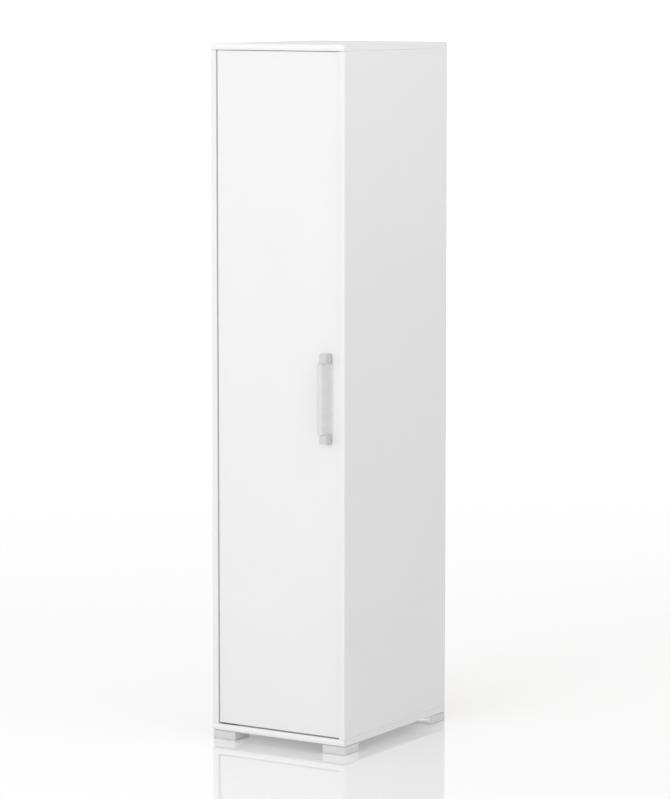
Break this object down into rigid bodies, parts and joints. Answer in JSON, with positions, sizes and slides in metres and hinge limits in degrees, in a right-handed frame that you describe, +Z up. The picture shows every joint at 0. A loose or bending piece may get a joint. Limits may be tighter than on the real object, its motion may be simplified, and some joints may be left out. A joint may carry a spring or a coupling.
{
  "type": "wardrobe",
  "caption": "Tall narrow wardrobe: white board carcass on low square feet, an inset door on pivot hinges with a curled handle, and a hat shelf over a clothes rail.",
  "frame": {"origin": "on the floor, below the middle of the closed wardrobe's bounding box, its handle included", "axes": "+X to the right as seen from the front, +Y from the door to the back, +Z up"},
  "size_m": [0.44, 0.5868, 1.97],
  "materials": {
    "white_board": "white melamine-faced board, low sheen",
    "fibreboard": "thin fibreboard, white inside, plain behind",
    "white_plastic": "smooth white",
    "dark_plastic": "black, smooth",
    "silver_plastic": "silver grey, satin",
    "silver_metal": "silver grey, satin",
    "zinc_steel": "bright zinc",
    "chrome_tube": "polished",
    "dark_magnet": "dark grey magnet and pole plates"
  },
  "bodies": {
    "carcass": {"back_joint_strip": "white_plastic", "back_panel_lower": "fibreboard", "back_panel_upper": "fibreboard", "bottom_panel": "white_board", "cam_bolt_bottom_left_back": "zinc_steel", "cam_bolt_bottom_left_front": "zinc_steel", "cam_bolt_bottom_right_back": "zinc_steel", "cam_bolt_bottom_right_front": "zinc_steel", "cam_bolt_top_left_back": "zinc_steel", "cam_bolt_top_left_front": "zinc_steel", "cam_bolt_top_right_back": "zinc_steel", "cam_bolt_top_right_front": "zinc_steel", "cam_bottom_left_back": "zinc_steel", "cam_bottom_left_front": "zinc_steel", "cam_bottom_right_back": "zinc_steel", "cam_bottom_right_front": "zinc_steel", "cam_top_left_back": "zinc_steel", "cam_top_left_front": "zinc_steel", "cam_top_right_back": "zinc_steel", "cam_top_right_front": "zinc_steel", "catch_housing": "white_plastic", "catch_magnet": "dark_magnet", "catch_screw_lower": "zinc_steel", "catch_screw_upper": "zinc_steel", "clothes_rail": "chrome_tube", "foot_back_left": "silver_plastic", "foot_back_right": "silver_plastic", "foot_front_left": "silver_plastic", "foot_front_right": "silver_plastic", "foot_screw_back_left": "zinc_steel", "foot_screw_back_right": "zinc_steel", "foot_screw_front_left": "zinc_steel", "foot_screw_front_right": "zinc_steel", "hat_shelf": "white_board", "hinge_pin_bottom": "zinc_steel", "hinge_pin_top": "zinc_steel", "hinge_plate_bottom_carcass": "zinc_steel", "hinge_plate_top_carcass": "zinc_steel", "hinge_washer": "dark_plastic", "left_side_panel": "white_board", "rail_socket_left": "white_plastic", "rail_socket_right": "white_plastic", "rail_socket_screw_left": "zinc_steel", "rail_socket_screw_right": "zinc_steel", "right_side_panel": "white_board", "shelf_pin_left_back": "zinc_steel", "shelf_pin_left_front": "zinc_steel", "shelf_pin_right_back": "zinc_steel", "shelf_pin_right_front": "zinc_steel", "top_panel": "white_board"},
    "door": {"catch_strike": "zinc_steel", "catch_strike_screw": "zinc_steel", "door_panel": "white_board", "handle_grip": "silver_metal", "handle_post_lower": "silver_metal", "handle_post_upper": "silver_metal", "handle_screw_lower": "zinc_steel", "handle_screw_upper": "zinc_steel", "hinge_plate_bottom_door": "zinc_steel", "hinge_plate_top_door": "zinc_steel"}
  },
  "joints": [
    {"name": "door_swing", "type": "hinge", "parent": "carcass", "child": "door", "pos_m": [-0.1898, -0.25095, 0.99905], "axis": [0, 0, -1], "range_deg": [0, 110]}
  ]
}
